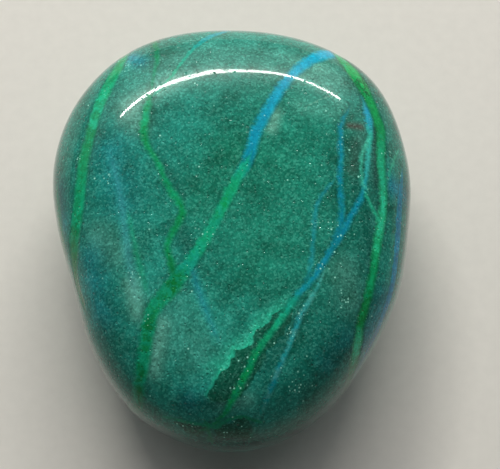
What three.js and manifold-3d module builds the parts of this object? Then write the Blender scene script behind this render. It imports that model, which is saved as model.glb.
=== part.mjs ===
// A tumble-polished pebble of chrysocolla in quartz, made as one solid piece.
// Sizes are in millimetres. The pebble stands on its worn resting spot at z = 0, with +Z up,
// +X across its width and +Y towards its broad end. The origin is under the middle of its box.
import * as THREE from "three";
import { ImprovedNoise } from "three/addons/math/ImprovedNoise.js";
import { mergeVertices } from "three/addons/utils/BufferGeometryUtils.js";
import Module from "manifold-3d";

// The waist is the pebble's widest level. Its radius is read every 22.5 degrees, from +X towards +Y.
const WAIST_RADII = [
  17.7, 19.2, 21.2, 21.5, 21.1, 21.6, 20.8, 19.3, 17.1, 16.5, 18.3, 20.8, 22.0, 20.7, 18.5, 17.8,
];
const CROWN_HEIGHT = 9.2; // from the waist up to the top face
const KEEL_DEPTH = 9.0; // from the waist down to the underside, before the resting spot was worn
const RESTING_WEAR = 0.25; // how deep the flat resting spot is worn into the underside

// A superellipse of power 2 is an ellipse, and a higher power has a flatter face and a tighter shoulder.
const CROWN_POWER = 3.0;
const KEEL_POWER = 2.35;

// Broad faces of the broken rock that tumbling rounded but didn't remove. Azimuth runs from +X
// towards +Y, tilt is measured from straight up, and reach is the face's distance from the centre.
const WORN_FACES = [
  { name: "top", azimuth: 255, tilt: 3, reach: 8.95 },
  { name: "far shoulder", azimuth: 100, tilt: 40, reach: 18.3 },
  { name: "right shoulder", azimuth: 6, tilt: 50, reach: 17.1 },
  { name: "left shoulder", azimuth: 172, tilt: 54, reach: 17.3 },
  { name: "near shoulder", azimuth: 288, tilt: 40, reach: 17.4 },
  { name: "under left", azimuth: 205, tilt: 136, reach: 14.0 },
  { name: "under right", azimuth: 350, tilt: 128, reach: 15.4 },
  { name: "under near", azimuth: 272, tilt: 140, reach: 16.2 },
];
const WORN_EDGE = 0.8; // how softly a worn face runs into the curve around it

// Low swells that tumbling leaves all over the stone.
const SWELL_HEIGHT = 0.2;
const SWELL_SPACING = 9;
const SWELL_PLACE = 40; // where in the noise the swells are taken from

const EDGE_CUTS = 17; // cuts along each edge of the icosahedron that the skin starts from
const FLOOR_BLOCK = 60; // the side of the block that cuts the resting spot
const MERGE_DISTANCE = 1e-4;

const wasm = await Module();
wasm.setup();
const noise = new ImprovedNoise();

// The waist radius at any angle, by a smooth closed curve through the radii.
function waistRadius(angle) {
  const count = WAIST_RADII.length;
  const place = ((angle / (2 * Math.PI) + 1) % 1) * count;
  const at = Math.floor(place);
  const t = place - at;
  const [before, start, end, after] = [-1, 0, 1, 2].map((k) => WAIST_RADII[(at + k + count) % count]);
  const slopeIn = (end - before) / 2;
  const slopeOut = (after - start) / 2;
  return (
    (2 * t ** 3 - 3 * t ** 2 + 1) * start +
    (t ** 3 - 2 * t ** 2 + t) * slopeIn +
    (3 * t ** 2 - 2 * t ** 3) * end +
    (t ** 3 - t ** 2) * slopeOut
  );
}

// Moves a point straight out from the centre, onto the rounded body of the pebble.
function toRoundedBody(point) {
  const radius = waistRadius(Math.atan2(point.y, point.x));
  const above = point.z > 0;
  const power = above ? CROWN_POWER : KEEL_POWER;
  const height = above ? CROWN_HEIGHT : KEEL_DEPTH;
  const across = Math.hypot(point.x, point.y) / radius;
  const up = Math.abs(point.z) / height;
  return point.multiplyScalar((across ** power + up ** power) ** (-1 / power));
}

// The outward direction of a worn face.
function faceNormal({ azimuth, tilt }) {
  const turn = THREE.MathUtils.degToRad(azimuth);
  const lean = THREE.MathUtils.degToRad(tilt);
  return new THREE.Vector3(
    Math.sin(lean) * Math.cos(turn),
    Math.sin(lean) * Math.sin(turn),
    Math.cos(lean),
  );
}

// Presses a point back behind every worn face that it stands out of.
function wearFaces(point) {
  for (const face of WORN_FACES) {
    const normal = faceNormal(face);
    const proud = point.dot(normal) - face.reach;
    point.addScaledVector(normal, -WORN_EDGE * Math.log1p(Math.exp(proud / WORN_EDGE)));
  }
  return point;
}

// Raises or sinks a point by the swell that runs under it.
function addSwell(point) {
  const { x, y, z } = point.clone().divideScalar(SWELL_SPACING).addScalar(SWELL_PLACE);
  return point.addScaledVector(point.clone().normalize(), SWELL_HEIGHT * noise.noise(x, y, z));
}

// The pebble's skin about the centre of its waist, before the resting spot is worn.
function pebbleSkin() {
  const skin = new THREE.IcosahedronGeometry(1, EDGE_CUTS);
  skin.deleteAttribute("normal");
  skin.deleteAttribute("uv");
  const position = skin.getAttribute("position");
  const point = new THREE.Vector3();
  const stretch = new THREE.Vector3(Math.max(...WAIST_RADII), Math.max(...WAIST_RADII), CROWN_HEIGHT);
  for (let i = 0; i < position.count; i++) {
    point.fromBufferAttribute(position, i).multiply(stretch);
    addSwell(wearFaces(toRoundedBody(point)));
    position.setXYZ(i, point.x, point.y, point.z);
  }
  return mergeVertices(skin, MERGE_DISTANCE);
}

function solidOf(geometry) {
  return new wasm.Manifold(
    new wasm.Mesh({
      numProp: 3,
      vertProperties: new Float32Array(geometry.getAttribute("position").array),
      triVerts: new Uint32Array(geometry.index.array),
    }),
  );
}

function geometryOf(solid) {
  const { vertProperties, triVerts } = solid.getMesh();
  const geometry = new THREE.BufferGeometry();
  geometry.setAttribute("position", new THREE.BufferAttribute(vertProperties, 3));
  geometry.setIndex(new THREE.BufferAttribute(triVerts, 1));
  return geometry;
}

// A block whose top face is the level of the resting spot.
function floorBlock() {
  const block = new THREE.BoxGeometry(FLOOR_BLOCK, FLOOR_BLOCK, FLOOR_BLOCK);
  block.translate(0, 0, -FLOOR_BLOCK / 2);
  block.deleteAttribute("normal");
  block.deleteAttribute("uv");
  return mergeVertices(block, MERGE_DISTANCE);
}

// The pebble, cut flat where it rests, with the middle of its box over the origin.
function pebbleGeometry() {
  const skin = pebbleSkin();
  skin.computeBoundingBox();
  skin.translate(0, 0, -skin.boundingBox.min.z - RESTING_WEAR);
  const pebble = geometryOf(solidOf(skin).subtract(solidOf(floorBlock())));
  pebble.computeBoundingBox();
  const middle = pebble.boundingBox.getCenter(new THREE.Vector3());
  pebble.translate(-middle.x, -middle.y, 0);
  pebble.computeVertexNormals();
  return pebble;
}

const polishedStone = new THREE.MeshStandardMaterial({
  color: 0x2b7a6b,
  roughness: 0.12,
  metalness: 0,
});

const pebble = new THREE.Mesh(pebbleGeometry(), polishedStone);
pebble.name = "chrysocolla_pebble";

const specimen = new THREE.Group();
specimen.add(pebble);

export default specimen;
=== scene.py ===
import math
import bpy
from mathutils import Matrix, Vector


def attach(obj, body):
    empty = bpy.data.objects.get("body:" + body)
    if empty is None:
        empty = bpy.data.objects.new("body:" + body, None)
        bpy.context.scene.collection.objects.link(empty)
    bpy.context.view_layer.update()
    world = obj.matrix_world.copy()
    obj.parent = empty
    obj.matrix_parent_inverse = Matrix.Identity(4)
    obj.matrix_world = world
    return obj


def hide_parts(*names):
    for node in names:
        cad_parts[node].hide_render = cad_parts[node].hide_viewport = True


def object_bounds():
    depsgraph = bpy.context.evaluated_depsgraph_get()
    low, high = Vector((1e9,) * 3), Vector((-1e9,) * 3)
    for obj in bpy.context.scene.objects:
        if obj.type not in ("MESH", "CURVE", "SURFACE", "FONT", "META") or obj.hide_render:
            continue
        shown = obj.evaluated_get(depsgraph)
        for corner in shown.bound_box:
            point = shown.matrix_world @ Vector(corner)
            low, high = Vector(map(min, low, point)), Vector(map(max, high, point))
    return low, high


bl_info = {
    "name": "Polished Chrysocolla Pebble",
    "version": (1, 0, 0),
    "blender": (4, 5, 0),
    "location": "3D View > Sidebar > Pebble",
    "description": "Builds a tumble-polished pebble of veined chrysocolla, and a plain studio for it",
    "category": "Add Mesh",
}

from dataclasses import dataclass
from functools import partial

import bmesh
import bpy
import numpy as np
from bpy.props import FloatProperty, FloatVectorProperty, IntProperty, PointerProperty
from mathutils import Matrix, Vector, noise
from mathutils.bvhtree import BVHTree

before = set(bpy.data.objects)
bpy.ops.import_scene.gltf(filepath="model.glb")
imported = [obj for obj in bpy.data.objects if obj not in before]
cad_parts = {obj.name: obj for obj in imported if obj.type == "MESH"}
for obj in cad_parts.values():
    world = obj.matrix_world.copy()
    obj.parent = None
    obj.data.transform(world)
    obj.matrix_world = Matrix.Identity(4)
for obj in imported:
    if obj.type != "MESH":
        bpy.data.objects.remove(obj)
CAD_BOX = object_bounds()
NODE = "chrysocolla_pebble"
BODY = "root"

MM = 0.001  # one millimetre in Blender's metres

# The photograph's frame, and how many millimetres of the stone one of its pixels covers
PHOTO_WIDTH = 500
PHOTO_HEIGHT = 469
SENSOR_WIDTH = 36.0
PIXEL = 0.1

# Sockets of a colour Mix node, whose names its other sockets have too
FACTOR, FIRST, SECOND, RESULT = 0, 6, 7, 2


def linear(code):
    """An sRGB hex colour as linear RGBA."""
    channels = [int(code[i : i + 2], 16) / 255 for i in (1, 3, 5)]
    return (*[c / 12.92 if c <= 0.04045 else ((c + 0.055) / 1.055) ** 2.4 for c in channels], 1.0)


# The veins and patches, placed and coloured by comparing with the photograph


@dataclass(frozen=True)
class Vein:
    """A mineral-filled crack: a sheet that runs down through the stone from the line seen on top.

    The path's points are (x, y, width): a place in the photograph in pixels, and the width there in
    millimetres. The colours are (place, colour), where place 2.5 is halfway between the path's
    points 2 and 3. The lean says how far the sheet moves along X and Y for each millimetre upwards.

    Softness is the width of the faded edge, in millimetres. Strength is how fully the filling covers
    the rock, and border how much the rock beside it darkens: partly the rock's own darker edge, partly
    painted shade of the vein lying deeper in the quartz. Blotch and edge are the colours of the
    marbling and of the rim, and blotches and edging their amounts. Groove is how far the vein is
    sunk, in millimetres.
    """

    name: str
    path: tuple
    colours: tuple
    lean: tuple = (-0.3, 0.1)
    softness: float = 0.55
    strength: float = 0.95
    border: float = 0.28
    blotch: str = "#067A42"
    blotches: float = 0.6
    edge: str = "#10B08C"
    edging: float = 0.15
    groove: float = 0.0


@dataclass(frozen=True)
class Cloud:
    """A soft patch of tint along a line between two of the photograph's pixels, its radius in millimetres."""

    start: tuple
    end: tuple
    radius: float
    strength: float


PLAIN = {"border": 0.0, "blotches": 0.0}  # a vein with no dark border and no marbling

FAINT_VEINS = (
    Vein(
        "left_blue_haze",
        ((112, 160, 0.6), (122, 205, 0.9), (127, 250, 1.0), (133, 284, 0.8), (138, 312, 0.4)),
        ((0, "#3E9CA8"), (2, "#3A98A0"), (4, "#5AAC9C")),
        lean=(0.4, 0.1), softness=0.9, strength=0.38, **PLAIN,
    ),
    Vein(
        "left_green_haze",
        ((129, 218, 0.3), (134, 242, 0.4), (139, 262, 0.5), (146, 288, 0.3)),
        ((0, "#14A070"), (3, "#149A68")),
        lean=(0.4, 0.1), softness=0.7, strength=0.45, **PLAIN,
    ),
    Vein(
        "middle_blue_haze",
        ((190, 262, 0.4), (199, 292, 0.8), (215, 333, 0.4)),
        ((0, "#1B8FAA"), (2, "#1B8FA4")),
        softness=0.8, strength=0.4, **PLAIN,
    ),
    Vein(
        "right_teal_haze",
        ((331, 184, 0.3), (317, 204, 0.4), (313.6, 233, 0.4), (311, 264, 0.45), (303, 290, 0.4)),
        ((0, "#1A8FA8"), (4, "#1896A4")),
        softness=0.4, strength=0.5, **PLAIN,
    ),
)

CRISP_VEINS = (
    Vein(
        "far_thin_blue",
        (
            (240, 27, 0.3), (221, 32.8, 0.35), (205, 39, 0.35), (189, 53, 0.3), (172.7, 75, 0.25),
            (153, 96, 0.15),
        ),
        ((0, "#189494"), (1, "#1494A6"), (2, "#1496A0"), (2.8, "#1C9E8C"), (4, "#22A882"), (5, "#38AE90")),
        lean=(0.2, -0.3), softness=0.25, strength=0.75, border=0.15, blotches=0.0,
    ),
    Vein(
        "squiggle_green",
        (
            (154, 38, 0.5), (157, 58, 0.45), (154, 76, 0.12), (150.5, 92, 0.15), (147.8, 104, 0.6),
            (144, 124, 0.8), (144.8, 139, 0.7), (152, 153, 0.5), (158.6, 164, 0.5), (166, 182, 0.55),
            (176.5, 198.6, 0.7), (182, 211, 0.7), (178, 223, 0.65), (169, 239.5, 0.5), (167.5, 250, 0.6),
            (171, 263, 0.75), (175, 276, 0.9),
        ),
        (
            (0, "#0B6F4C"), (1, "#0C7450"), (2.5, "#2A9E78"), (4, "#10A878"), (5, "#0CA468"),
            (6, "#078A4C"), (7, "#0A9458"), (10, "#0CA06C"), (11, "#078C4C"), (12, "#068046"),
            (13, "#0A965A"), (14, "#088A4C"), (15, "#06743E"), (16, "#056C30"),
        ),
        lean=(0.25, 0.1),
    ),
    Vein(
        "left_shoulder_green",
        (
            (130, 46, 0.5), (116.5, 70, 0.7), (105, 91.4, 0.95), (95.5, 114.4, 0.85), (89, 139, 0.85),
            (83.6, 159, 0.95), (80.5, 184, 1.0), (77.6, 211, 1.0), (74.2, 236, 0.9), (73.6, 257, 0.75),
            (76.4, 282, 0.4), (83, 303, 0.3),
        ),
        (
            (0, "#15936C"), (1, "#0FA46C"), (2, "#14B082"), (3, "#18B488"), (4, "#088E5A"), (5, "#089864"),
            (7, "#0CA878"), (8, "#0A9468"), (9, "#0A7C4E"), (10, "#0C7044"), (11, "#0A5A38"),
        ),
        lean=(0.6, 0.0), softness=0.65, border=0.35, groove=0.03,
    ),
    Vein(
        "left_rim_green",
        ((57, 196, 0.5), (60.5, 232, 0.9), (66, 264, 0.9), (72.5, 294, 0.6)),
        ((0, "#0C7C64"), (1, "#0A8458"), (2, "#087A48"), (3, "#086440")),
        lean=(0.9, 0.0), softness=0.7, strength=0.65, border=0.1,
    ),
    Vein(
        "main_blue",
        (
            (352, 48, 0.4), (334, 53, 0.6), (317, 57, 1.0), (298, 69, 0.95), (281, 88, 1.0),
            (268.5, 109, 1.1), (256.4, 131, 1.15), (249.5, 155, 1.1), (239, 175.6, 1.0),
        ),
        ((0, "#1F9CB0"), (1, "#109EBC"), (2, "#08A2C2"), (5, "#069AB8"), (7.3, "#0490AC"), (8, "#0A989A")),
        lean=(-0.3, 0.15), blotch="#0A829C", blotches=0.4,
    ),
    Vein(
        "main_green",
        (
            (244, 166, 0.95), (239, 175.6, 1.0), (226.4, 198.6, 1.05), (216, 219, 1.0), (202, 244.6, 1.05),
            (188, 264, 1.2), (179, 277, 1.5), (167.6, 292, 1.6), (154.5, 307, 1.45), (149.7, 322, 1.45),
            (146.5, 341, 1.3), (143, 363, 1.2), (139, 388, 1.0), (139, 408, 0.8),
        ),
        (
            (0, "#0AA080"), (1, "#0A9C6C"), (2, "#069856"), (3.2, "#0C9470"), (4, "#0AA068"),
            (5, "#0C9480"), (5.8, "#067E40"), (6.5, "#046E2C"), (7.4, "#087C48"), (8, "#088450"),
            (9, "#046A34"), (10, "#067240"), (11.5, "#046A38"), (13, "#044A2C"),
        ),
        lean=(-0.3, 0.15), blotch="#12A282", blotches=0.45, edging=0.25,
    ),
    Vein(
        "blue_to_green",
        (
            (347, 112, 0.25), (341, 126, 0.4), (341, 154, 0.5), (340.5, 186, 0.55), (341.8, 213, 0.6),
            (338.6, 233, 0.75), (328.4, 255, 0.6), (314.4, 276.5, 0.55), (298, 294, 0.6), (288, 308, 0.65),
            (273.6, 329, 0.6), (257, 352, 0.6), (245.5, 375, 0.7), (232.8, 399, 0.65), (222.5, 417, 0.5),
            (208, 427, 0.4),
        ),
        (
            (0, "#1A7C90"), (1.5, "#0A84A4"), (4, "#067C96"), (7, "#0886A2"), (8, "#0C929A"),
            (8.8, "#14A68C"), (9.6, "#10A878"), (11, "#069250"), (13.5, "#068C4A"), (15, "#08643E"),
        ),
        lean=(-0.35, 0.1), blotch="#0A7A6C", blotches=0.4,
    ),
    Vein(
        "blue_branch",
        (
            (364, 102, 0.4), (367.6, 112, 0.7), (369.4, 124, 0.7), (369.9, 138, 0.5), (368, 160, 0.35),
            (365.5, 180, 0.4), (361, 199, 0.5), (352, 214, 0.55), (345, 228, 0.6), (338.6, 240, 0.5),
        ),
        (
            (0, "#2A949C"), (1, "#1694B4"), (2, "#169AAC"), (3, "#24AE98"), (4, "#34B0A8"), (6, "#0A84A0"),
            (9, "#067E9A"),
        ),
        lean=(-0.4, 0.1), blotches=0.0,
    ),
    Vein(
        "branch_thin_edge",
        ((369, 138, 0.15), (361.2, 160, 0.25), (362, 180, 0.25), (365.5, 188, 0.2)),
        ((0, "#45BEA0"), (3, "#3FB59C")),
        lean=(-0.4, 0.1), strength=0.8, **PLAIN,
    ),
    Vein(
        "right_shoulder_green",
        (
            (328, 46, 0.4), (338.6, 56, 0.6), (350, 68, 0.9), (361.6, 84, 0.9), (373, 108, 0.8),
            (381, 131, 0.8), (381, 155, 0.8), (383, 184, 0.7), (383.6, 204, 0.7), (380, 230, 0.8),
            (376.4, 250, 0.8), (373.6, 272, 0.7), (368, 297, 0.75), (361.6, 321, 0.75), (357.6, 346, 0.8),
            (352.7, 370, 0.6), (346, 388, 0.4),
        ),
        (
            (0, "#2B9F90"), (1, "#14A87A"), (2, "#08A455"), (2.75, "#08A052"), (3.05, "#04502C"),
            (3.35, "#0A9850"), (4, "#0A9850"), (5, "#088A50"), (6, "#14A87C"), (7, "#22B48C"),
            (9, "#2CC494"), (10, "#1CBA80"), (11, "#0E9E64"), (11.7, "#0CA468"), (12.3, "#047230"),
            (13, "#0A9652"), (14, "#30C89C"), (15, "#0C8060"), (16, "#084C3C"),
        ),
        lean=(-0.55, 0.1), softness=0.6, border=0.4, blotches=0.35, groove=0.025, edge="#067038",
        edging=0.4,
    ),
    Vein(
        "right_thin_loop",
        ((366.5, 195, 0.2), (372, 207, 0.25), (378.5, 220, 0.3)),
        ((0, "#25AA88"), (2, "#26AE84")),
        lean=(-0.45, 0.1), border=0.2, blotches=0.0,
    ),
    Vein(
        "right_rim_blue",
        (
            (402, 178, 0.4), (399.5, 210, 0.8), (398.5, 230, 0.8), (396, 261, 0.7), (391.5, 290, 0.8),
            (382, 319, 0.8), (371, 344, 0.8), (358, 369, 0.5),
        ),
        ((0, "#067E96"), (2, "#0484A4"), (4, "#028CB4"), (5, "#0480A0"), (7, "#086070")),
        lean=(-1.3, 0.2), softness=0.3, strength=0.85, blotch="#0A5E80",
    ),
    Vein(
        "near_blue",
        (
            (322, 276, 0.15), (314.4, 292, 0.3), (305, 307, 0.45), (297.8, 322, 0.4), (289.5, 345, 0.4),
            (279, 368, 0.45), (271, 389, 0.5), (260, 414, 0.45), (252, 436, 0.3),
        ),
        (
            (0, "#2A9494"), (1.5, "#34A09C"), (3, "#2096A4"), (4, "#229AA0"), (5, "#0A8698"),
            (6, "#047E8C"), (7, "#0A8474"), (8, "#064A34"),
        ),
        lean=(-0.25, 0.1), softness=0.5, strength=0.85, blotch="#6CB8B0", blotches=0.4,
    ),
    Vein(
        "near_rim_arc",
        (
            (166, 417, 0.15), (184, 421.5, 0.25), (205.6, 425.5, 0.3), (216, 427, 0.35), (227, 421, 0.3),
            (240, 416.4, 0.3), (260, 422, 0.2),
        ),
        ((0, "#0C8060"), (6, "#0A7048")),
        lean=(0.1, 0.6), softness=0.3, **PLAIN,
    ),
    Vein(
        "near_rim_stub",
        ((206, 424, 0.35), (211, 440, 0.4)),
        ((0, "#0C7448"), (1, "#085038")),
        lean=(0.1, 0.6), softness=0.3, **PLAIN,
    ),
    Vein(
        "pale_thread",
        ((307, 106.5, 0.04), (319, 100, 0.07), (331, 95, 0.04)),
        ((0, "#8CC4AC"), (2, "#8CC4AC")),
        softness=0.15, strength=0.5, **PLAIN,
    ),
    Vein(
        "right_rim_thin",
        ((398, 152, 0.12), (391, 168, 0.16), (388, 180, 0.12)),
        ((0, "#45B894"), (2, "#2FA884")),
        lean=(-0.6, 0.1), strength=0.7, **PLAIN,
    ),
)

VEINS = FAINT_VEINS + CRISP_VEINS

# The tints of the rock's clouds. The pale and dark tints also serve as painted sheen round the highlight and
# along the far rim, and as painted shade along the rims
TINTS = {
    "green": "#148450",
    "pale": "#86C4B0",
    "blue": "#127C9A",
    "mint": "#30B896",
    "dark": "#042C24",
    "brown": "#4A2E2A",
}

CLOUDS = {
    "green": (
        Cloud((290, 150), (265, 240), 6.5, 0.22), Cloud((200, 205), (225, 150), 3.0, 0.15),
    ),
    # Pale tint: the clouds from (150, 62), (136, 102), (128, 106), (304, 66) and (104, 95), along the far
    # rim, round the highlight arc and on the left shoulder, are painted sheen, a painted reflection of the
    # room and lamps; the others are milkier rock
    "pale": (
        Cloud((150, 62), (330, 66), 3.4, 0.14), Cloud((136, 102), (172, 80), 1.2, 0.38),
        Cloud((128, 106), (138, 124), 1.2, 0.35), Cloud((304, 66), (338, 80), 1.5, 0.20),
        Cloud((300, 106), (338, 112), 1.1, 0.14), Cloud((276, 112), (272, 128), 0.6, 0.45),
        Cloud((162, 325), (154, 372), 0.8, 0.30), Cloud((172, 312), (196, 350), 2.4, 0.08),
        Cloud((98, 235), (118, 255), 1.6, 0.15), Cloud((131, 284), (138, 312), 0.8, 0.40),
        Cloud((104, 95), (100, 106), 0.45, 0.50), Cloud((345, 270), (352, 300), 1.6, 0.15),
        Cloud((222, 402), (246, 400), 0.9, 0.20),
    ),
    "blue": (
        Cloud((112, 150), (121, 198), 2.0, 0.20), Cloud((90, 262), (100, 315), 1.8, 0.28),
        Cloud((131, 57), (141, 62), 0.9, 0.45), Cloud((190, 400), (206, 388), 1.1, 0.30),
        Cloud((392, 186), (404, 194), 1.0, 0.60), Cloud((384, 300), (366, 345), 1.3, 0.45),
        Cloud((330, 360), (345, 340), 1.5, 0.18), Cloud((60, 190), (64, 225), 1.0, 0.25),
    ),
    "mint": (
        Cloud((286, 302), (262, 319), 0.7, 0.42), Cloud((257, 326), (247, 341), 0.7, 0.45),
        Cloud((239, 344), (222, 364), 0.9, 0.48), Cloud((215, 371), (202, 388), 1.0, 0.38),
    ),
    # Dark tint: the clouds along the rims, from (60, 130), (62, 270), (105, 340), (120, 400), (130, 418),
    # (160, 432), (230, 446), (300, 430) and (408, 190), are painted shade where the underside turns away from
    # the light; the others are darker patches of rock
    "dark": (
        Cloud((318, 330), (335, 395), 4.0, 0.15), Cloud((360, 250), (350, 330), 2.4, 0.20),
        Cloud((300, 318), (262, 368), 0.9, 0.45), Cloud((186, 405), (214, 402), 0.8, 0.45),
        Cloud((212, 402), (238, 402), 0.8, 0.50), Cloud((354, 145), (356, 200), 1.0, 0.40),
        Cloud((375, 128), (376, 186), 0.5, 0.75), Cloud((366, 215), (371, 265), 0.8, 0.45),
        Cloud((181, 232), (193, 256), 0.8, 0.55), Cloud((130, 418), (160, 440), 1.4, 0.60),
        Cloud((163, 164), (184, 196), 0.5, 0.30), Cloud((105, 340), (128, 392), 2.2, 0.45),
        Cloud((60, 130), (60, 200), 1.7, 0.50), Cloud((62, 270), (110, 380), 1.8, 0.55),
        Cloud((408, 190), (404, 290), 1.2, 0.60), Cloud((160, 432), (230, 446), 2.2, 0.85),
        Cloud((230, 446), (300, 430), 2.4, 0.80), Cloud((300, 430), (340, 396), 2.0, 0.60),
        Cloud((120, 400), (160, 432), 1.8, 0.70),
    ),
    "brown": (
        Cloud((349, 125), (361, 127), 0.4, 0.80), Cloud((356, 140), (353, 168), 0.9, 0.25),
    ),
}

# Clusters of painted glints, tiny white flecks that stand for light sparkling off bare quartz, as (x, y,
# radius): pixels in the photograph and millimetres
GLINTS = (
    (130, 67, 0.6), (104, 97, 0.3), (78, 160, 0.4), (107, 176, 0.5), (137, 272, 0.5), (200, 236, 0.5),
    (217, 232, 0.3), (148, 318, 0.5), (322, 265, 0.6), (340, 232, 0.7), (345, 300, 0.8), (316, 222, 0.4),
    (345, 140, 0.7), (388, 150, 0.6), (380, 222, 0.4), (300, 312, 0.5), (291, 332, 0.5), (276, 371, 0.6),
    (238, 388, 0.6), (300, 388, 0.9), (236, 418, 0.5), (192, 425, 0.5), (367, 322, 0.5), (358, 348, 0.4),
    (227, 372, 0.4), (369, 190, 0.3),
)

# Dark crystalline hollows that the veins cut across, as closed outlines in the photograph's pixels
DARK_PATCHES = (
    (
        (291, 309), (282.5, 311), (268.5, 320), (256, 331), (254, 340), (250, 346.5), (243, 348),
        (235.5, 352), (234.8, 358), (223, 371), (221, 380.5), (214, 390), (210, 395), (213, 400),
        (226, 401), (236, 399), (247, 386), (258, 367), (269, 351), (283, 332), (294, 316),
    ),
    ((176, 423), (192, 422.5), (204, 427), (207, 435), (196, 434), (183, 430)),
    ((216, 430), (227, 423.5), (238, 419), (249, 421), (254, 427), (248, 436), (231, 439), (217, 436)),
)
PATCH_LEAN = (0.1, 0.4)
PATCH_LINE = "#2ABE98"
PATCH_FLOOR = 5.0  # the height below which the dark hollows fade out, in millimetres

END_TAPER = 0.35  # half width that a vein loses for each millimetre past its end
GROOVE_EDGE = 0.3  # how far a vein's groove takes to slope down, in millimetres

# Low down, where the photograph doesn't reach, the veins wander off sideways: below this height, by
# this much, in waves of this length, in millimetres
WANDER_TOP = 8.0
WANDER_REACH = 2.6
WANDER_LENGTH = 5.0

# Sizes of the stone's finer patterns
SCALLOP_SIZE = 1.1 * MM
FINE_GRAIN_SIZE = 0.32 * MM
PIT_SPACING = 0.4 * MM
PIT_DEPTH = 0.06 * MM

# The noises that sway a vein, fray its edge and shift its colours along it, as (size, detail,
# roughness, low value, high value, how far it shifts them)
VEIN_SHIFTS = (
    (0.8 * MM, 3.0, 0.6, 0.2, 0.8, 0.14),
    (0.4 * MM, 3.0, 0.7, 0.25, 0.75, 0.12),
    (0.85 * MM, 4.0, 0.65, 0.35, 0.65, 0.035),
)

# Colours that stay the same whatever the settings
# The rock beside a vein: partly its own darker edge, partly painted shade of the vein lying deeper in the
# quartz
BORDER_SHADE = "#04382A"
MILKY_GRAIN = "#86C8BA"
ROOM_LIGHT = "#F2F4F8"
TUBE_LIGHT = "#FFFDF6"
DIFFUSER_LIGHT = "#FFFFFF"

CARD_FIBRE_SIZE = 1.2 * MM

# The glow fades in between the first and the second value of a direction's height or depth
GLOW_RAMPS = (("Z", 0.05, 0.52), ("Z", 0.7, 0.6), ("Y", 0.1, 0.75))

# Each lamp's top edge, from its start to its end, and how far the lamp reaches down from it, in metres
LEFT_TUBE = ((-0.232, 0.33, 0.408), (-0.012, 0.33, 0.297), 0.016)
RIGHT_TUBE = ((-0.012, 0.33, 0.294), (0.199, 0.33, 0.304), 0.011)
OVERHEAD_DIFFUSER = ((-0.5, 0.0, 0.9), (0.5, 0.0, 0.9), 0.9)


# Settings


class PebbleStone(bpy.types.PropertyGroup):
    """The pebble's skin and the colours and grain of its rock."""

    skin_cuts: IntProperty(
        name="Skin Cuts", description="Cuts along each edge of the cube that the skin starts from",
        default=125, min=20, max=127,
    )
    melt_rounds: IntProperty(
        name="Melting Rounds", description="Smoothing rounds that melt the solid's facets into one skin",
        default=26, min=0,
    )
    ripple_height: FloatProperty(
        name="Ripple Height", description="Height of the faint ripples that polishing leaves",
        default=0.004 * MM, unit="LENGTH", precision=6,
    )
    ripple_length: FloatProperty(
        name="Ripple Length", description="Distance between the faint ripples", default=2.4 * MM,
        unit="LENGTH", precision=5,
    )
    deep_colour: FloatVectorProperty(
        name="Deep Colour", description="The deeper teal of the rock", subtype="COLOR",
        default=linear("#0A5848")[:3],
    )
    pale_colour: FloatVectorProperty(
        name="Pale Colour", description="The paler, milkier teal of the rock", subtype="COLOR",
        default=linear("#208A7A")[:3],
    )
    patch_colour: FloatVectorProperty(
        name="Dark Patch Colour", description="The dark green of the crystalline hollows", subtype="COLOR",
        default=linear("#0C4E3A")[:3],
    )
    # The white of the quartz flecks, which is also the colour of the painted glints
    fleck_and_glint_colour: FloatVectorProperty(
        name="Fleck Colour", description="The white of small quartz flecks", subtype="COLOR",
        default=linear("#A8FAE4")[:3],
    )
    drift_size: FloatProperty(
        name="Drift Size", description="Size of the large drifts of deeper and paler rock", default=9.0 * MM,
        unit="LENGTH", precision=5,
    )
    mottle_size: FloatProperty(
        name="Mottle Size", description="Size of the rock's mottling", default=1.8 * MM, unit="LENGTH",
        precision=5,
    )
    grain_size: FloatProperty(
        name="Grain Size", description="Size of one sugary grain of quartz", default=0.16 * MM, unit="LENGTH",
        precision=5,
    )
    fleck_spacing: FloatProperty(
        name="Fleck Spacing", description="Distance between the places where a white fleck may stand",
        default=0.27 * MM, unit="LENGTH", precision=5,
    )
    gloss_roughness: FloatProperty(
        name="Gloss Roughness", description="Roughness of the tumble-polished surface", default=0.05, min=0.0,
        max=1.0,
    )
    haze_roughness: FloatProperty(
        name="Haze Roughness",
        description="Roughness of the tumbling marks that spread a milky haze round each highlight",
        default=0.22, min=0.0, max=1.0,
    )


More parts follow.
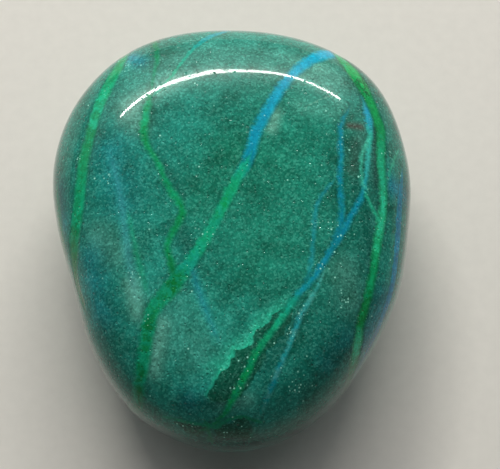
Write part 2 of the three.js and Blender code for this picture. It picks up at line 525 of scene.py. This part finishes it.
class PebbleStudio(bpy.types.PropertyGroup):
    """The photograph's camera, and the studio's floor and lights."""

    elevation: FloatProperty(
        name="Elevation", description="Height of the camera above the horizon", default=math.radians(70),
        subtype="ANGLE",
    )
    lens: FloatProperty(name="Lens", description="Focal length in millimetres", default=100.0)
    distance: FloatProperty(
        name="Distance", description="From the camera to the point that it looks at", default=138.6 * MM,
        unit="LENGTH", precision=4,
    )
    aim: FloatVectorProperty(
        name="Aim", description="The point that the camera looks at",
        default=(1.85 * MM, 0.36 * MM, 8.55 * MM), unit="LENGTH", precision=5,
    )
    floor_size: FloatProperty(
        name="Floor Size", description="Side of the square floor", default=6.0, unit="LENGTH"
    )
    floor_colour: FloatVectorProperty(
        name="Floor Colour", description="The pale card that the pebble lies on", subtype="COLOR",
        default=linear("#D6D3CC")[:3],
    )
    wall_strength: FloatProperty(
        name="Wall Strength", description="Brightness of the room level with the floor", default=0.24, min=0.0
    )
    sky_strength: FloatProperty(
        name="Sky Strength", description="Brightness of the room overhead", default=0.05, min=0.0
    )
    tube_brightness: FloatProperty(
        name="Tube Brightness", description="Brightness of the two tube lamps beyond the pebble",
        default=112.0, min=0.0,
    )
    glow_strength: FloatProperty(
        name="Glow Strength", description="Brightness of the soft glow beyond the pebble", default=1.5,
        min=0.0,
    )
    overhead_brightness: FloatProperty(
        name="Overhead Brightness", description="Brightness of the broad overhead diffuser", default=0.8,
        min=0.0,
    )


# Helpers


def per_metre(size):
    """The texture scale that gives a feature of this size, in metres."""
    return 1.0 / size


def add_node(tree, kind, inputs=None, **settings):
    """Adds a node to the tree, with its settings, input values and links, and gives its outputs."""
    node = tree.nodes.new(kind)
    for name, value in settings.items():
        setattr(node, name, value)
    for name, value in (inputs or {}).items():
        if isinstance(value, bpy.types.NodeSocket):
            tree.links.new(value, node.inputs[name])
        else:
            node.inputs[name].default_value = value
    return node.outputs


def new_material(name):
    material = bpy.data.materials.new(name)
    material.use_nodes = True
    material.node_tree.nodes.clear()
    return material


def new_object(name, data):
    piece = bpy.data.objects.new(name, data)
    bpy.context.scene.collection.objects.link(piece)
    return piece


# The photograph's camera


def camera_frame(studio):
    """The camera's place, and its right, up and back directions."""
    back = Vector((0, -math.cos(studio.elevation), math.sin(studio.elevation)))
    right = Vector((1, 0, 0))
    return Vector(studio.aim) + back * studio.distance, right, back.cross(right), back


def place_of_pixel(studio, solid_tree, x, y):
    """The point of the solid under a pixel, in millimetres. Past the outline it is level with the waist."""
    eye, right, up, back = camera_frame(studio)
    scale = SENSOR_WIDTH / studio.lens / PHOTO_WIDTH
    direction = right * ((x - PHOTO_WIDTH / 2) * scale) + up * ((PHOTO_HEIGHT / 2 - y) * scale) - back
    hit = solid_tree.ray_cast(eye, direction)[0]
    if hit is None:
        waist = (CAD_BOX[0].z + CAD_BOX[1].z) / 2
        hit = eye + direction * ((waist - eye.z) / direction.z)
    return np.array(hit) / MM


# Measuring the marks on the skin


def plan_of(points, lean):
    """Where points stand on a leaning sheet's plan: its own (x, y), whatever their height."""
    height = points[:, 2:3]
    low = np.clip((WANDER_TOP - height) / WANDER_TOP, 0, 1)
    x, y = points[:, 0:1] / WANDER_LENGTH, points[:, 1:2] / WANDER_LENGTH
    # Slow waves, which the lean shifts so that no two veins wander alike
    sway = np.hstack([np.sin(y + lean[0] * 9) + np.sin(x * 0.7 + y * 0.4), np.cos(x + lean[0] * 7)])
    return points[:, :2] + height * np.array(lean) + WANDER_REACH * low**2 * sway


def smooth_path(knots, steps):
    """A smooth curve through the knots, with a few steps between each two."""
    padded = np.vstack([2 * knots[0] - knots[1], knots, 2 * knots[-1] - knots[-2]])
    t = np.linspace(0, 1, steps, endpoint=False)[:, None]
    curve = [
        b + t * (c - a) / 2 + t**2 * (a - 2.5 * b + 2 * c - d / 2) + t**3 * (1.5 * (b - c) + (d - a) / 2)
        for a, b, c, d in zip(padded, padded[1:], padded[2:], padded[3:])
    ]
    return np.vstack([*curve, knots[-1:]])


def vein_path(vein, locate):
    """The vein's line and half width on its own plan, in millimetres."""
    knots = smooth_path(np.array(vein.path, float), steps=3)
    heading = np.gradient(knots[:, :2], axis=0)
    heading /= np.linalg.norm(heading, axis=1, keepdims=True)
    rows = []
    for (x, y, width), (along_x, along_y) in zip(knots, heading):
        step = width / PIXEL / 2
        spots = [locate(x - side * along_y, y + side * along_x) for side in (-step, 0, step)]
        one, middle, other = plan_of(np.array(spots), vein.lean)
        # On a steep side the plan would stretch the vein, so its half width is capped
        rows.append((*middle, min(np.linalg.norm(one - other) / 2, width)))
    return np.array(rows)


def measure_vein(path, plan):
    """Each point's signed distance from the vein's sheet, its place along it, and the half width there.

    Past its ends the half width shrinks below nothing, so that the vein tapers off.
    """
    starts, ends = path[:-1], path[1:]
    runs = ends[:, :2] - starts[:, :2]
    lengths = np.linalg.norm(runs, axis=1)
    nearest = np.full(len(plan), np.inf)
    measured = np.zeros((len(plan), 3), np.float32)
    for i, (start, end, run, length) in enumerate(zip(starts, ends, runs, lengths)):
        offset = plan - start[:2]
        free = offset @ run / length**2
        t = np.clip(free, 0, 1)
        gap = np.linalg.norm(offset - t[:, None] * run, axis=1)
        near = gap < nearest
        nearest[near] = gap[near]
        across = (offset[near, 0] * run[1] - offset[near, 1] * run[0]) / length
        past_start = -free[near] if i == 0 else 0
        past_end = free[near] - 1 if i == len(runs) - 1 else 0
        past = np.maximum(0, np.maximum(past_start, past_end)) * length
        side = np.where(across < 0, -1, 1) * np.where(past > 0, np.abs(across), gap[near])
        half = start[2] + (end[2] - start[2]) * t[near] - END_TAPER * past
        along = (i + t[near]) / len(runs)
        measured[near] = np.column_stack([side, along, half])
    return measured


def measure_cloud(cloud, points, locate):
    """How strongly the cloud tints each point."""
    start, end = (locate(*place) for place in (cloud.start, cloud.end))
    run = end - start
    t = np.clip((points - start) @ run / (run @ run), 0, 1)
    gap = np.linalg.norm(points - start - t[:, None] * run, axis=1)
    return cloud.strength * np.exp(-((gap / cloud.radius) ** 2))


def measure_glints(points, locate):
    """How thickly each point is sown with painted glints: white flecks that stand for light sparkling off
    bare quartz.
    """
    spots = [(locate(x, y), radius) for x, y, radius in GLINTS]
    return np.max([np.exp(-((np.linalg.norm(points - spot, axis=1) / r) ** 2)) for spot, r in spots], axis=0)


def measure_patch(outline, points, locate):
    """How deep each point lies inside a closed outline, in millimetres. Outside it is below nothing."""
    knots = plan_of(np.array([locate(x, y) for x, y in outline]), PATCH_LEAN)
    plan = plan_of(points, PATCH_LEAN)
    gap = np.full(len(plan), np.inf)
    inside = np.zeros(len(plan), bool)
    for a, b in zip(knots, np.roll(knots, -1, axis=0)):
        run, offset = b - a, plan - a
        t = np.clip(offset @ run / (run @ run), 0, 1)
        gap = np.minimum(gap, np.linalg.norm(offset - t[:, None] * run, axis=1))
        spans = (a[1] > plan[:, 1]) != (b[1] > plan[:, 1])
        inside ^= spans & (plan[:, 0] < a[0] + offset[:, 1] * run[0] / run[1])
    return np.where(inside, gap, -gap) - np.maximum(0, PATCH_FLOOR - points[:, 2])


# The stone's skin


def solid_ray_tree():
    """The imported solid, merged, as a tree to cast rays at."""
    solid = bmesh.new()
    solid.from_mesh(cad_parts[NODE].data)
    bmesh.ops.remove_doubles(solid, verts=solid.verts[:], dist=0.001 * MM)
    tree = BVHTree.FromBMesh(solid)
    solid.free()
    return tree


def blown_skin(stone, solid_tree):
    """A fine even skin: a cube cut into a grid and blown out onto the solid, with its facets melted."""
    low, high = CAD_BOX
    centre, reach = (low + high) / 2, (high - low) / 2
    skin = bmesh.new()
    bmesh.ops.create_cube(skin, size=2.0)
    bmesh.ops.subdivide_edges(skin, edges=skin.edges[:], cuts=stone.skin_cuts, use_grid_fill=True)
    for vert in skin.verts:
        spread = [math.tan(c * math.pi / 4) * r for c, r in zip(vert.co, reach)]
        vert.co = solid_tree.ray_cast(centre, Vector(spread))[0]
    for _ in range(stone.melt_rounds):
        bmesh.ops.smooth_vert(
            skin, verts=skin.verts[:], factor=0.5, use_axis_x=True, use_axis_y=True, use_axis_z=True
        )
    bmesh.ops.recalc_face_normals(skin, faces=skin.faces[:])
    return skin


def add_ripples(stone, skin):
    """Lifts and sinks the skin by faint ripples, but leaves the resting spot flat."""
    rest_edge = 0.5 * MM
    skin.normal_update()
    for vert in skin.verts:
        rise = noise.noise(vert.co / stone.ripple_length) * stone.ripple_height
        vert.co += vert.normal * rise * min(1.0, vert.co.z / rest_edge)


def read_points(mesh, field):
    values = np.empty(len(mesh.vertices) * 3)
    mesh.vertices.foreach_get(field, values)
    return values.reshape(-1, 3)


def store(mesh, name, values):
    """Keeps one number, or one set of three numbers, for every point of the mesh."""
    kind, field = ("FLOAT_VECTOR", "vector") if values.ndim == 2 else ("FLOAT", "value")
    mesh.attributes.new(name, kind, "POINT").data.foreach_set(field, values.astype(np.float32).ravel())


def mark_skin(mesh, studio, solid_tree):
    """Stores every vein, cloud and dark patch on the mesh, and presses the grooved veins in."""
    locate = partial(place_of_pixel, studio, solid_tree)
    points = read_points(mesh, "co") / MM
    groove = np.zeros(len(points))
    for vein in VEINS:
        measured = measure_vein(vein_path(vein, locate), plan_of(points, vein.lean))
        store(mesh, "vein_" + vein.name, measured)
        cover = np.clip((measured[:, 2] - np.abs(measured[:, 0])) / GROOVE_EDGE + 0.5, 0, 1)
        groove = np.maximum(groove, vein.groove * cover**2 * (3 - 2 * cover))
    store(mesh, "glints", measure_glints(points, locate))
    for tint, clouds in CLOUDS.items():
        bare = [1 - measure_cloud(cloud, points, locate) for cloud in clouds]
        store(mesh, "cloud_" + tint, 1 - np.prod(bare, axis=0))
    store(mesh, "dark_patch", np.max([measure_patch(o, points, locate) for o in DARK_PATCHES], axis=0))
    pressed = (points - read_points(mesh, "normal") * groove[:, None]) * MM
    mesh.vertices.foreach_set("co", pressed.ravel())
    mesh.update()


# The stone's material


def vein_group():
    """A node group that lays one mineral vein over the rock."""
    tree = bpy.data.node_groups.new("Mineral Vein", "ShaderNodeTree")
    sockets = {
        "NodeSocketColor": ("Rock", "Filling", "Blotch Colour", "Edge Colour"),
        "NodeSocketVector": ("Measure",),
        "NodeSocketFloat": (
            "Wobble", "Fray", "Edging", "Blotch", "Softness", "Strength", "Border", "Cover Below"
        ),
    }
    for kind, names in sockets.items():
        for name in names:
            tree.interface.new_socket(name=name, in_out="INPUT", socket_type=kind)
    tree.interface.new_socket(name="Colour", in_out="OUTPUT", socket_type="NodeSocketColor")
    tree.interface.new_socket(name="Cover", in_out="OUTPUT", socket_type="NodeSocketFloat")
    given = add_node(tree, "NodeGroupInput")
    measure = add_node(tree, "ShaderNodeSeparateXYZ", {0: given["Measure"]})
    wavy = add_node(tree, "ShaderNodeMath", {0: measure["X"], 1: given["Wobble"]}, operation="ADD")[0]
    away = add_node(tree, "ShaderNodeMath", {0: wavy}, operation="ABSOLUTE")[0]
    past_edge = add_node(tree, "ShaderNodeMath", {0: away, 1: measure["Z"]}, operation="SUBTRACT")[0]
    outside = add_node(tree, "ShaderNodeMath", {0: past_edge, 1: given["Fray"]}, operation="ADD")[0]
    inner, outer = (
        add_node(tree, "ShaderNodeMath", {0: given["Softness"], 1: half}, operation="MULTIPLY")[0]
        for half in (-0.5, 0.5)
    )
    cover = add_node(
        tree, "ShaderNodeMapRange",
        {"Value": outside, "From Min": inner, "From Max": outer, "To Min": given["Strength"], "To Max": 0.0},
        interpolation_type="SMOOTHSTEP",
    )[0]
    # Painted shade: the rock beside the vein darkens towards BORDER_SHADE, partly its own darker edge, partly
    # the shade of a vein lying deeper in the quartz
    shade = add_node(
        tree, "ShaderNodeMapRange",
        {"Value": outside, "From Max": 0.5, "To Min": given["Border"], "To Max": 0.0},
        interpolation_type="SMOOTHSTEP",
    )[0]
    shaded = add_node(
        tree, "ShaderNodeMix", {FACTOR: shade, FIRST: given["Rock"], SECOND: linear(BORDER_SHADE)},
        data_type="RGBA",
    )[RESULT]
    filling = add_node(
        tree, "ShaderNodeMix",
        {FACTOR: given["Blotch"], FIRST: given["Filling"], SECOND: given["Blotch Colour"]}, data_type="RGBA",
    )[RESULT]
    near_edge = add_node(
        tree, "ShaderNodeMapRange",
        {"Value": outside, "From Min": -0.35, "From Max": -0.08, "To Max": given["Edging"]},
        interpolation_type="SMOOTHSTEP",
    )[0]
    edged = add_node(
        tree, "ShaderNodeMix", {FACTOR: near_edge, FIRST: filling, SECOND: given["Edge Colour"]},
        data_type="RGBA",
    )[RESULT]
    colour = add_node(
        tree, "ShaderNodeMix", {FACTOR: cover, FIRST: shaded, SECOND: edged}, data_type="RGBA"
    )[RESULT]
    covered = add_node(tree, "ShaderNodeMath", {0: cover, 1: given["Cover Below"]}, operation="MAXIMUM")[0]
    add_node(tree, "NodeGroupOutput", {"Colour": colour, "Cover": covered})
    return tree


def fill_ramp(node, vein):
    """Sets a colour ramp's stops to the vein's colours, from its first point at 0 to its last at 1."""
    stops = node.color_ramp.elements
    for place, _ in vein.colours[1:-1]:
        stops.new(place / (len(vein.path) - 1))
    for stop, (_, code) in zip(stops, vein.colours):
        stop.color = linear(code)


def rock_colour(tree, place, stone):
    """The rock: large drifts of deeper and paler teal, with mottling and soft clouds of tint in it. Some dark
    clouds are painted shade along the rims, and some pale ones painted sheen round the highlight.
    """
    drift = add_node(
        tree, "ShaderNodeTexNoise", {"Vector": place, "Scale": per_metre(stone.drift_size), "Detail": 2.0}
    )[0]
    mottle = add_node(
        tree, "ShaderNodeTexNoise",
        {"Vector": place, "Scale": per_metre(stone.mottle_size), "Detail": 5.0, "Roughness": 0.62},
    )[0]
    large = add_node(tree, "ShaderNodeMath", {0: drift, 1: 0.55}, operation="MULTIPLY")[0]
    both = add_node(tree, "ShaderNodeMath", {0: mottle, 1: 0.8, 2: large}, operation="MULTIPLY_ADD")[0]
    factor = add_node(tree, "ShaderNodeMapRange", {"Value": both, "From Min": 0.47, "From Max": 0.84})[0]
    colour = add_node(
        tree, "ShaderNodeMix",
        {FACTOR: factor, FIRST: (*stone.deep_colour, 1), SECOND: (*stone.pale_colour, 1)}, data_type="RGBA",
    )[RESULT]
    patchy = add_node(
        tree, "ShaderNodeMapRange",
        {"Value": mottle, "From Min": 0.25, "From Max": 0.65, "To Min": 0.35, "To Max": 1.25},
    )[0]
    # Each tint is mixed in by its clouds; among them the dark clouds on the rims are painted shade, and some
    # pale ones are painted sheen round the highlight
    for tint, code in TINTS.items():
        amount = add_node(tree, "ShaderNodeAttribute", attribute_name="cloud_" + tint)["Fac"]
        uneven = add_node(
            tree, "ShaderNodeMath", {0: amount, 1: patchy}, operation="MULTIPLY", use_clamp=True
        )[0]
        colour = add_node(
            tree, "ShaderNodeMix", {FACTOR: uneven, FIRST: colour, SECOND: linear(code)}, data_type="RGBA"
        )[RESULT]
    return colour


def dark_patches(tree, place, stone, colour):
    """The dark crystalline hollows. Their scalloped edge has a bright line where the mint tint meets it."""
    depth = add_node(tree, "ShaderNodeAttribute", attribute_name="dark_patch")["Fac"]
    mint = add_node(tree, "ShaderNodeAttribute", attribute_name="cloud_mint")["Fac"]
    mint_edge = add_node(tree, "ShaderNodeMath", {0: mint, 1: 1.7}, operation="MULTIPLY")[0]
    scallop = add_node(
        tree, "ShaderNodeTexVoronoi", {"Vector": place, "Scale": per_metre(SCALLOP_SIZE)}
    )["Distance"]
    rough_depth = add_node(
        tree, "ShaderNodeMath", {0: scallop, 1: 0.75, 2: depth}, operation="MULTIPLY_ADD"
    )[0]
    rising = add_node(
        tree, "ShaderNodeMapRange", {"Value": rough_depth, "From Min": -0.3, "From Max": 0.25},
        interpolation_type="SMOOTHSTEP",
    )[0]
    line = add_node(
        tree, "ShaderNodeMath", {0: rising, 1: mint_edge}, operation="MULTIPLY", use_clamp=True
    )[0]
    lined = add_node(
        tree, "ShaderNodeMix", {FACTOR: line, FIRST: colour, SECOND: linear(PATCH_LINE)}, data_type="RGBA"
    )[RESULT]
    inside = add_node(
        tree, "ShaderNodeMapRange", {"Value": rough_depth, "From Min": 0.22, "From Max": 0.4, "To Max": 0.88},
        interpolation_type="SMOOTHSTEP",
    )[0]
    dark = add_node(
        tree, "ShaderNodeMix", {FACTOR: inside, FIRST: lined, SECOND: (*stone.patch_colour, 1)},
        data_type="RGBA",
    )
    return dark[RESULT], inside


def sugary_grain(tree, place, stone, colour, cover):
    """Quartz grains, each a little lighter or darker than the next. The vein minerals are smoother."""
    cells = add_node(
        tree, "ShaderNodeTexVoronoi", {"Vector": place, "Scale": per_metre(stone.grain_size)}
    )["Color"]
    one_cell = add_node(tree, "ShaderNodeSeparateColor", {0: cells})[0]
    bright_few = add_node(tree, "ShaderNodeMath", {0: one_cell, 1: 3.0}, operation="POWER")[0]
    fine = add_node(
        tree, "ShaderNodeTexNoise",
        {"Vector": place, "Scale": per_metre(FINE_GRAIN_SIZE), "Detail": 3.0, "Roughness": 0.65},
    )[0]
    both = add_node(tree, "ShaderNodeMath", {0: bright_few, 1: 0.4, 2: fine}, operation="MULTIPLY_ADD")[0]
    light = add_node(
        tree, "ShaderNodeMapRange",
        {"Value": both, "From Min": 0.3, "From Max": 0.95, "To Min": 0.62, "To Max": 1.5},
    )[0]
    shown = add_node(tree, "ShaderNodeMapRange", {"Value": cover, "To Min": 1.0, "To Max": 0.55})[0]
    grained = add_node(
        tree, "ShaderNodeMix", {FACTOR: shown, FIRST: colour, SECOND: light}, data_type="RGBA",
        blend_type="MULTIPLY",
    )[RESULT]
    milk = add_node(tree, "ShaderNodeMapRange", {"Value": cover, "To Min": 0.12, "To Max": 0.02})[0]
    faint = add_node(tree, "ShaderNodeMath", {0: bright_few, 1: milk}, operation="MULTIPLY")[0]
    return add_node(
        tree, "ShaderNodeMix", {FACTOR: faint, FIRST: grained, SECOND: linear(MILKY_GRAIN)}, data_type="RGBA"
    )[RESULT]


def white_flecks_and_glints(tree, place, stone, colour, inside):
    """Small white flecks of quartz, a few all over and more in the dark hollows, and many in the glinting
    clusters, where they are painted glints of light off bare quartz.
    """
    glints = add_node(tree, "ShaderNodeAttribute", attribute_name="glints")["Fac"]
    sprinkle = add_node(
        tree, "ShaderNodeTexVoronoi", {"Vector": place, "Scale": per_metre(stone.fleck_spacing)}
    )
    chance = add_node(tree, "ShaderNodeSeparateColor", {0: sprinkle["Color"]})
    sown = add_node(tree, "ShaderNodeMath", {0: inside, 1: 0.08, 2: 0.008}, operation="MULTIPLY_ADD")[0]
    needed = add_node(tree, "ShaderNodeMath", {0: glints, 1: 0.9, 2: sown}, operation="MULTIPLY_ADD")[0]
    shown = add_node(tree, "ShaderNodeMath", {0: chance[0], 1: needed}, operation="LESS_THAN")[0]
    size = add_node(tree, "ShaderNodeMath", {0: chance[1], 1: 0.32, 2: 0.22}, operation="MULTIPLY_ADD")[0]
    dot = add_node(
        tree, "ShaderNodeMapRange",
        {"Value": sprinkle["Distance"], "From Max": size, "To Min": 1.0, "To Max": 0.0},
        interpolation_type="SMOOTHSTEP",
    )[0]
    amount = add_node(tree, "ShaderNodeMath", {0: dot, 1: shown}, operation="MULTIPLY")[0]
    # Mixes in the fleck colour: quartz flecks, and painted glints in the glinting clusters
    return add_node(
        tree, "ShaderNodeMix", {FACTOR: amount, FIRST: colour, SECOND: (*stone.fleck_and_glint_colour, 1)},
        data_type="RGBA",
    )[RESULT]


def lay_veins(tree, place, colour):
    """Every vein in turn, the faint ones below the crisp ones."""
    group = vein_group()
    shifts = []
    for size, detail, roughness, low, high, reach in VEIN_SHIFTS:
        waves = add_node(
            tree, "ShaderNodeTexNoise",
            {"Vector": place, "Scale": per_metre(size), "Detail": detail, "Roughness": roughness},
        )[0]
        shift = add_node(
            tree, "ShaderNodeMapRange",
            {"Value": waves, "From Min": low, "From Max": high, "To Min": -reach, "To Max": reach},
        )[0]
        shifts.append(shift)
    wobble, fray, drift = shifts
    marble = waves  # the last noise also marbles the fillings
    cover = 0.0
    for vein in VEINS:
        measure = add_node(tree, "ShaderNodeAttribute", attribute_name="vein_" + vein.name)["Vector"]
        along = add_node(tree, "ShaderNodeSeparateXYZ", {0: measure})["Y"]
        drifted = add_node(tree, "ShaderNodeMath", {0: along, 1: drift}, operation="ADD")[0]
        ramp = add_node(tree, "ShaderNodeValToRGB", {0: drifted})
        fill_ramp(ramp[0].node, vein)
        blotch = add_node(
            tree, "ShaderNodeMapRange",
            {"Value": marble, "From Min": 0.43, "From Max": 0.58, "To Max": vein.blotches},
            interpolation_type="SMOOTHSTEP",
        )[0]
        laid = add_node(
            tree, "ShaderNodeGroup",
            {
                "Rock": colour, "Filling": ramp[0], "Blotch Colour": linear(vein.blotch),
                "Edge Colour": linear(vein.edge), "Measure": measure, "Wobble": wobble, "Fray": fray,
                "Edging": vein.edging, "Blotch": blotch, "Softness": vein.softness, "Strength": vein.strength,
                "Border": vein.border, "Cover Below": cover,
            },
            node_tree=group,
        )
        colour, cover = laid["Colour"], laid["Cover"]
    return colour, cover


def polish_relief(tree, place):
    """Tiny pits where grains were plucked out during tumbling."""
    pits = add_node(tree, "ShaderNodeTexVoronoi", {"Vector": place, "Scale": per_metre(PIT_SPACING)})
    chance = add_node(tree, "ShaderNodeSeparateColor", {0: pits["Color"]})
    few = add_node(tree, "ShaderNodeMath", {0: chance[0], 1: 2.0}, operation="POWER")[0]
    size = add_node(tree, "ShaderNodeMath", {0: few, 1: 0.46}, operation="MULTIPLY")[0]
    bowl = add_node(
        tree, "ShaderNodeMapRange", {"Value": pits["Distance"], "From Max": size},
        interpolation_type="SMOOTHSTEP",
    )[0]
    return add_node(tree, "ShaderNodeBump", {"Height": bowl, "Strength": 0.9, "Distance": PIT_DEPTH})[0]


def stone_material(stone):
    """Chrysocolla in quartz, tumble-polished.

    Quartz takes a glassy polish over a sugary, almost opaque body. The coat is the polish, which
    mirrors the lamps sharply. Below it tumbling marks spread a milky haze round each highlight, a
    little wider on the softer minerals of the veins. Both reflections are weaker than bare quartz's,
    so that the pale floor doesn't wash out the rims.
    """
    material = new_material("Tumble-polished chrysocolla in quartz")
    tree = material.node_tree
    place = add_node(tree, "ShaderNodeTexCoord")["Object"]
    colour = rock_colour(tree, place, stone)
    colour, inside = dark_patches(tree, place, stone, colour)
    colour, cover = lay_veins(tree, place, colour)
    colour = sugary_grain(tree, place, stone, colour, cover)
    colour = white_flecks_and_glints(tree, place, stone, colour, inside)
    roughness = add_node(
        tree, "ShaderNodeMapRange",
        {"Value": cover, "To Min": stone.haze_roughness, "To Max": stone.haze_roughness * 1.2},
    )[0]
    relief = polish_relief(tree, place)
    shader = add_node(
        tree, "ShaderNodeBsdfPrincipled",
        {
            "Base Color": colour, "Roughness": roughness, "IOR": 1.54, "Specular IOR Level": 0.06,
            "Coat Weight": 1.0, "Coat Roughness": stone.gloss_roughness, "Coat IOR": 1.22, "Normal": relief,
            "Coat Normal": relief,
        },
    )
    add_node(tree, "ShaderNodeOutputMaterial", {"Surface": shader[0]})
    return material


# The studio


def card_material(studio):
    """Pale card with a soft, slightly uneven matt surface."""
    material = new_material("Pale matt card")
    tree = material.node_tree
    place = add_node(tree, "ShaderNodeTexCoord")["Object"]
    fibres = add_node(
        tree, "ShaderNodeTexNoise", {"Vector": place, "Scale": per_metre(CARD_FIBRE_SIZE), "Detail": 4.0}
    )[0]
    light = add_node(tree, "ShaderNodeMapRange", {"Value": fibres, "To Min": 0.95, "To Max": 1.05})[0]
    colour = add_node(
        tree, "ShaderNodeMix", {FACTOR: 1.0, FIRST: (*studio.floor_colour, 1), SECOND: light},
        data_type="RGBA", blend_type="MULTIPLY",
    )[RESULT]
    shader = add_node(tree, "ShaderNodeBsdfPrincipled", {"Base Color": colour, "Roughness": 0.9})
    add_node(tree, "ShaderNodeOutputMaterial", {"Surface": shader[0]})
    return material


def make_floor(studio):
    floor = bmesh.new()
    bmesh.ops.create_grid(floor, size=studio.floor_size / 2)
    mesh = bpy.data.meshes.new("studio_floor")
    floor.to_mesh(mesh)
    floor.free()
    mesh.materials.append(card_material(studio))
    new_object("studio_floor", mesh)


def make_sky(studio):
    """The room: its light fades from the floor's level upwards, with a soft glow beyond the pebble."""
    world = bpy.data.worlds.new("Studio Fill")
    bpy.context.scene.world = world
    world.use_nodes = True
    tree = world.node_tree
    direction = add_node(tree, "ShaderNodeTexCoord")["Generated"]
    axes = add_node(tree, "ShaderNodeSeparateXYZ", {0: direction})
    strength = add_node(
        tree, "ShaderNodeMapRange",
        {"Value": axes["Z"], "From Max": 0.7, "To Min": studio.wall_strength, "To Max": studio.sky_strength},
        interpolation_type="SMOOTHSTEP",
    )[0]
    glow = studio.glow_strength
    for axis, low, high in GLOW_RAMPS:
        glow = add_node(
            tree, "ShaderNodeMapRange",
            {"Value": axes[axis], "From Min": low, "From Max": high, "To Max": glow},
            interpolation_type="SMOOTHSTEP",
        )[0]
    total = add_node(tree, "ShaderNodeMath", {0: strength, 1: glow}, operation="ADD")[0]
    background = tree.nodes["Background"]
    background.inputs["Color"].default_value = linear(ROOM_LIGHT)
    tree.links.new(total, background.inputs["Strength"])


def make_lamp(name, brightness, start, end, drop, colour, mirrored=True):
    """A lamp whose top edge runs from start to end. It faces the pebble and reaches down by the drop.

    One that isn't mirrored lights the pebble and the floor, but doesn't show in the gloss.
    """
    start, end = Vector(start), Vector(end)
    along = (end - start).normalized()
    middle = (start + end) / 2
    away = (middle - along * middle.dot(along)).normalized()
    down = away.cross(along)
    lamp = bpy.data.lights.new(name, "AREA")
    lamp.shape = "RECTANGLE"
    lamp.size, lamp.size_y = (end - start).length, drop
    lamp.energy = brightness * math.pi * lamp.size * lamp.size_y
    lamp.color = linear(colour)[:3]
    piece = new_object(name, lamp)
    turned = Matrix((along, down, away)).transposed().to_4x4()
    piece.matrix_world = Matrix.Translation(middle + down * drop / 2) @ turned
    piece.visible_camera = False
    piece.visible_glossy = mirrored


def make_camera(studio):
    eye, right, up, back = camera_frame(studio)
    camera = bpy.data.cameras.new("photograph_camera")
    camera.lens = studio.lens
    camera.sensor_width = SENSOR_WIDTH
    camera.clip_start = 0.01
    piece = new_object("photograph_camera", camera)
    turned = Matrix((right, up, back)).transposed().to_4x4()
    piece.matrix_world = Matrix.Translation(eye) @ turned
    bpy.context.scene.camera = piece


# Operators, panel and main


class PEBBLE_OT_stone(bpy.types.Operator):
    """Build the polished stone with its veins."""

    bl_idname = "pebble.stone"
    bl_label = "Polished Stone"

    def execute(self, context):
        stone, studio = context.scene.pebble_stone, context.scene.pebble_studio
        solid_tree = solid_ray_tree()
        skin = blown_skin(stone, solid_tree)
        add_ripples(stone, skin)
        mesh = bpy.data.meshes.new("polished_pebble")
        skin.to_mesh(mesh)
        skin.free()
        mesh.shade_smooth()
        mark_skin(mesh, studio, solid_tree)
        mesh.materials.append(stone_material(stone))
        pebble = new_object("polished_pebble", mesh)
        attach(pebble, BODY)
        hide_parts(NODE)
        return {"FINISHED"}


class PEBBLE_OT_studio(bpy.types.Operator):
    """Build the plain floor, the soft lights and the camera."""

    bl_idname = "pebble.studio"
    bl_label = "Studio"

    def execute(self, context):
        studio = context.scene.pebble_studio
        context.scene.view_settings.view_transform = "Standard"
        make_floor(studio)
        make_sky(studio)
        tube, overhead = studio.tube_brightness, studio.overhead_brightness
        make_lamp("left_tube", tube, *LEFT_TUBE, TUBE_LIGHT)
        make_lamp("right_tube", tube, *RIGHT_TUBE, TUBE_LIGHT)
        make_lamp("overhead_diffuser", overhead, *OVERHEAD_DIFFUSER, DIFFUSER_LIGHT, mirrored=False)
        make_camera(studio)
        return {"FINISHED"}


class PEBBLE_PT_panel(bpy.types.Panel):
    bl_idname = "PEBBLE_PT_panel"
    bl_label = "Chrysocolla Pebble"
    bl_space_type = "VIEW_3D"
    bl_region_type = "UI"
    bl_category = "Pebble"

    def draw(self, context):
        for operator in OPERATORS:
            self.layout.operator(operator.bl_idname)


OPERATORS = (PEBBLE_OT_stone, PEBBLE_OT_studio)
CLASSES = (PebbleStone, PebbleStudio, *OPERATORS, PEBBLE_PT_panel)


def register():
    for cls in CLASSES:
        bpy.utils.register_class(cls)
    bpy.types.Scene.pebble_stone = PointerProperty(type=PebbleStone)
    bpy.types.Scene.pebble_studio = PointerProperty(type=PebbleStudio)


def unregister():
    del bpy.types.Scene.pebble_stone
    del bpy.types.Scene.pebble_studio
    for cls in reversed(CLASSES):
        bpy.utils.unregister_class(cls)


def main():
    register()
    bpy.ops.pebble.stone()
    bpy.ops.pebble.studio()


if __name__ == "__main__":
    main()
